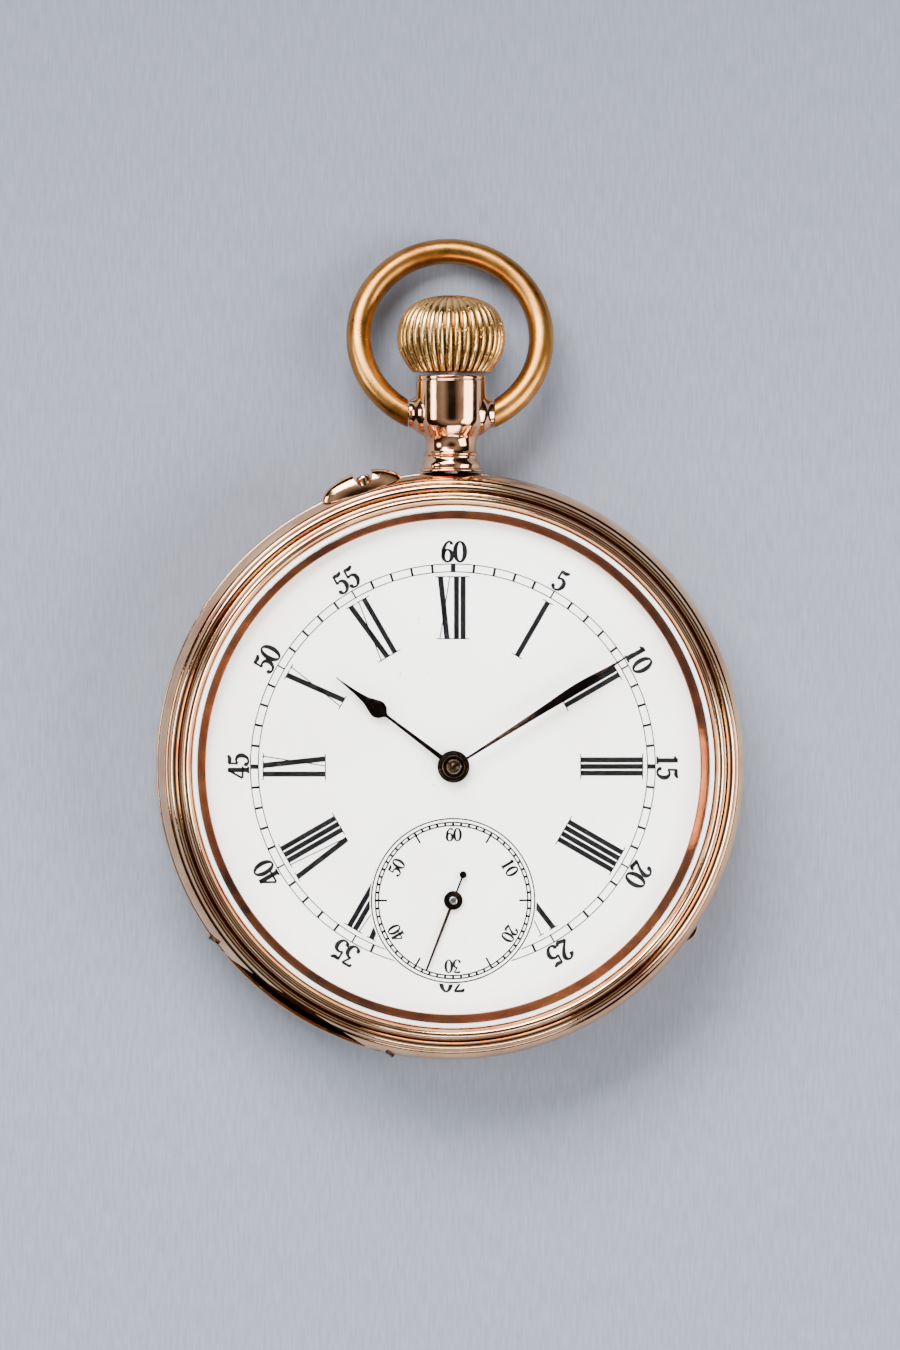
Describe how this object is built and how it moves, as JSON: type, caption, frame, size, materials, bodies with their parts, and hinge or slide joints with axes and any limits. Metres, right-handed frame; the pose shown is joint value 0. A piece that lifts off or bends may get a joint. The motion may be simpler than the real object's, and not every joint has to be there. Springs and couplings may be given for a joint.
{
  "type": "open face pocket watch",
  "caption": "Open face keyless pocket watch lying on its back, with hinged back covers, bow, crown, pin-set button, dial, hands and a working movement.",
  "frame": {"origin": "centre of the flat rest face on the back cover", "axes": "+Z out of the dial, +Y towards 12 o'clock and the crown, +X towards 3 o'clock"},
  "size_m": [0.05, 0.0699, 0.0121],
  "materials": {
    "rose_gold": "polished rose gold, lightly worn",
    "worn_gold": "yellower gold, rubbed and pitted",
    "bow_gold": "satin brownish gold",
    "enamel": "white fired enamel on copper",
    "crystal_glass": "clear polished glass",
    "nickel_plate": "matt nickel-plated brass",
    "gilt_brass": "gilt brass",
    "steel": "polished hardened steel",
    "blued_steel": "blued spring steel",
    "hand_steel": "tarnished blued steel"
  },
  "bodies": {
    "case": {"case_middle": "rose_gold", "back_hinge_pin": "steel", "cuvette_hinge_pin": "steel", "bezel": "rose_gold", "crystal": "crystal_glass", "pendant": "rose_gold", "push_piece_guard": "rose_gold", "mainplate": "nickel_plate", "barrel_bridge": "nickel_plate", "train_bridge": "nickel_plate", "balance_cock": "nickel_plate", "pallet_bridge": "nickel_plate", "case_screw": "steel", "barrel_bridge_screw": "steel", "train_bridge_screw": "steel", "balance_cock_screw": "steel", "crown_wheel_core": "steel", "click_screw": "steel", "click_spring": "steel", "yoke_spring": "steel", "hairspring": "blued_steel", "dial": "enamel"},
    "back": {"back_cover": "rose_gold"},
    "dust_cover": {"cuvette": "rose_gold"},
    "bow_ring": {"bow": "bow_gold"},
    "winding": {"crown": "worn_gold", "winding_stem": "steel", "winding_pinion": "steel"},
    "sliding_clutch": {"clutch": "steel"},
    "push_pin": {"push_piece": "rose_gold"},
    "setting_yoke": {"yoke": "steel"},
    "crown_gear": {"crown_wheel": "steel"},
    "ratchet": {"ratchet_wheel": "steel", "ratchet_screw": "steel", "barrel_arbor": "steel"},
    "pawl": {"click": "steel"},
    "power": {"barrel": "gilt_brass", "barrel_cover": "gilt_brass", "mainspring": "blued_steel"},
    "minutes": {"centre_arbor": "steel", "centre_wheel": "gilt_brass", "cannon_pinion": "steel", "minute_hand": "hand_steel"},
    "third": {"third_arbor": "steel", "third_wheel": "gilt_brass"},
    "seconds": {"fourth_arbor": "steel", "fourth_wheel": "gilt_brass", "seconds_hand": "hand_steel"},
    "escape": {"escape_arbor": "steel", "escape_wheel": "steel"},
    "lever": {"pallet_fork": "steel"},
    "balance": {"balance_wheel": "gilt_brass", "balance_staff": "steel"},
    "index": {"regulator": "steel"},
    "motion": {"minute_wheel": "gilt_brass"},
    "hours": {"hour_wheel": "gilt_brass", "hour_hand": "hand_steel"},
    "setting": {"setting_wheel": "gilt_brass"}
  },
  "joints": [
    {"name": "back_cover_hinge", "type": "hinge", "parent": "case", "child": "back", "pos_m": [-0.01266, -0.0195, 0.00495], "axis": [-0.8387, 0.5446, 0], "range_deg": [0, 75]},
    {"name": "cuvette_hinge", "type": "hinge", "parent": "case", "child": "dust_cover", "pos_m": [-0.01209, -0.01862, 0.00275], "axis": [-0.8387, 0.5446, 0], "range_deg": [0, 65]},
    {"name": "bow_swing", "type": "hinge", "parent": "case", "child": "bow_ring", "pos_m": [0, 0.02983, 0.0053], "axis": [1, 0, 0], "range_deg": [-118, 150]},
    {"name": "crown_turn", "type": "hinge", "parent": "case", "child": "winding", "pos_m": [0, 0.03, 0.0053], "axis": [0, 1, 0], "continuous": true},
    {"name": "clutch_slide", "type": "slide", "parent": "winding", "child": "sliding_clutch", "axis": [0, -1, 0], "range_m": [0, 0.00116]},
    {"name": "push_piece_press", "type": "slide", "parent": "case", "child": "push_pin", "axis": [0.2957, -0.9553, 0], "range_m": [0, 0.0005], "stiffness_N_per_m": 300, "springref_m": -0.0005},
    {"name": "yoke_turn", "type": "hinge", "parent": "case", "child": "setting_yoke", "pos_m": [-0.0095, 0.0165, 0.00745], "axis": [0, 0, 1], "range_deg": [-7.1, 0]},
    {"name": "crown_wheel_turn", "type": "hinge", "parent": "case", "child": "crown_gear", "pos_m": [0, 0.01455, 0.00234], "axis": [0, 0, 1], "continuous": true},
    {"name": "ratchet_turn", "type": "hinge", "parent": "case", "child": "ratchet", "pos_m": [0.0049, 0.007, 0.00234], "axis": [0, 0, 1], "continuous": true},
    {"name": "click_lift", "type": "hinge", "parent": "case", "child": "pawl", "pos_m": [0.0112, 0.0102, 0.0023], "axis": [0, 0, 1], "range_deg": [-10, 0], "stiffness_Nm_per_rad": 0.0005, "springref_deg": 5.73},
    {"name": "seconds_turn", "type": "hinge", "parent": "case", "child": "seconds", "pos_m": [0, -0.01122, 0.0041], "axis": [0, 0, -1], "continuous": true},
    {"name": "third_turn", "type": "hinge", "parent": "case", "child": "third", "pos_m": [0.00341, -0.00634, 0.0047], "axis": [0, 0, -1], "continuous": true},
    {"name": "minutes_turn", "type": "hinge", "parent": "case", "child": "minutes", "pos_m": [0, 0, 0.0035], "axis": [0, 0, -1], "continuous": true},
    {"name": "barrel_turn", "type": "hinge", "parent": "case", "child": "power", "pos_m": [0.0049, 0.007, 0.005], "axis": [0, 0, -1], "continuous": true},
    {"name": "escape_turn", "type": "hinge", "parent": "case", "child": "escape", "pos_m": [-0.00475, -0.00892, 0.005], "axis": [0, 0, -1], "continuous": true},
    {"name": "lever_rock", "type": "hinge", "parent": "case", "child": "lever", "pos_m": [-0.00849, -0.00711, 0.005], "axis": [0, 0, 1], "range_deg": [-5.4, 5.4]},
    {"name": "balance_swing", "type": "hinge", "parent": "case", "child": "balance", "pos_m": [-0.01263, -0.0051, 0.0038], "axis": [0, 0, 1], "range_deg": [-15, 15], "stiffness_Nm_per_rad": 0.000002},
    {"name": "regulator_turn", "type": "hinge", "parent": "case", "child": "index", "pos_m": [-0.01263, -0.0051, 0.0017], "axis": [0, 0, 1], "range_deg": [-15, 15]},
    {"name": "minute_wheel_turn", "type": "hinge", "parent": "case", "child": "motion", "pos_m": [0, 0.00336, 0.0075], "axis": [0, 0, -1], "continuous": true},
    {"name": "hours_turn", "type": "hinge", "parent": "case", "child": "hours", "pos_m": [0, 0, 0.0078], "axis": [0, 0, -1], "continuous": true},
    {"name": "setting_wheel_turn", "type": "hinge", "parent": "case", "child": "setting", "pos_m": [0, 0.00991, 0.0075], "axis": [0, 0, -1], "continuous": true}
  ],
  "couplings": [
    {"joint": "cuvette_hinge", "follows": "back_cover_hinge", "ratio": 0.86},
    {"joint": "clutch_slide", "follows": "push_piece_press", "ratio": 2.3},
    {"joint": "yoke_turn", "follows": "push_piece_press", "rad_per_m": -244},
    {"joint": "crown_wheel_turn", "follows": "crown_turn", "ratio": 0.625},
    {"joint": "ratchet_turn", "follows": "crown_turn", "ratio": -0.5},
    {"joint": "third_turn", "follows": "seconds_turn", "ratio": -0.13333},
    {"joint": "minutes_turn", "follows": "seconds_turn", "ratio": 0.016667},
    {"joint": "barrel_turn", "follows": "seconds_turn", "ratio": -0.0020833},
    {"joint": "escape_turn", "follows": "seconds_turn", "ratio": -10},
    {"joint": "minute_wheel_turn", "follows": "seconds_turn", "ratio": -0.0055556},
    {"joint": "hours_turn", "follows": "seconds_turn", "ratio": 0.0013889},
    {"joint": "setting_wheel_turn", "follows": "seconds_turn", "ratio": 0.0034722},
    {"joint": "lever_rock", "follows": "balance_swing", "ratio": -0.3533}
  ]
}
